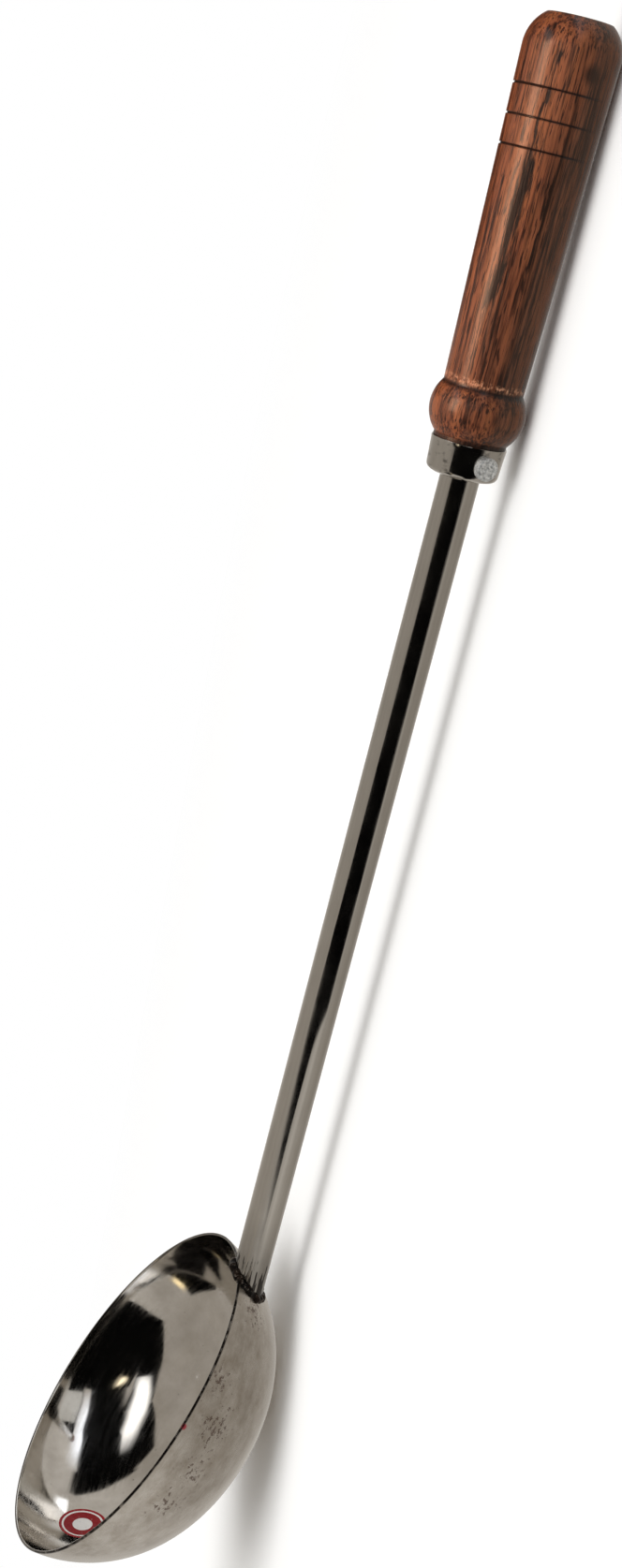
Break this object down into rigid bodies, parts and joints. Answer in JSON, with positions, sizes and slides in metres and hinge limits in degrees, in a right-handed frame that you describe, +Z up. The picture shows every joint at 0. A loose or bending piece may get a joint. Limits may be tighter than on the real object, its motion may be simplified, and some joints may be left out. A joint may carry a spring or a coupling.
{
  "type": "ladle",
  "caption": "Long serving ladle: a deep round steel bowl on a straight tube shaft, with a turned wooden handle held by a riveted ferrule.",
  "frame": {"origin": "on the table that the ladle lies on, under the middle of its length and width", "axes": "+X from the bowl towards the handle, +Z up from the table, +Y across the bowl"},
  "size_m": [0.5523, 0.13, 0.084],
  "materials": {
    "bowl_steel": "polished",
    "tube_steel": "polished",
    "weld_metal": "scorched",
    "ferrule_steel": "polished",
    "handle_wood": "waxed",
    "rivet_metal": "hammered"
  },
  "bodies": {
    "root": {"bowl": "bowl_steel", "shaft_tube": "tube_steel", "weld_bead": "weld_metal", "ferrule": "ferrule_steel", "handle": "handle_wood", "cross_rivet": "rivet_metal"}
  },
  "joints": []
}
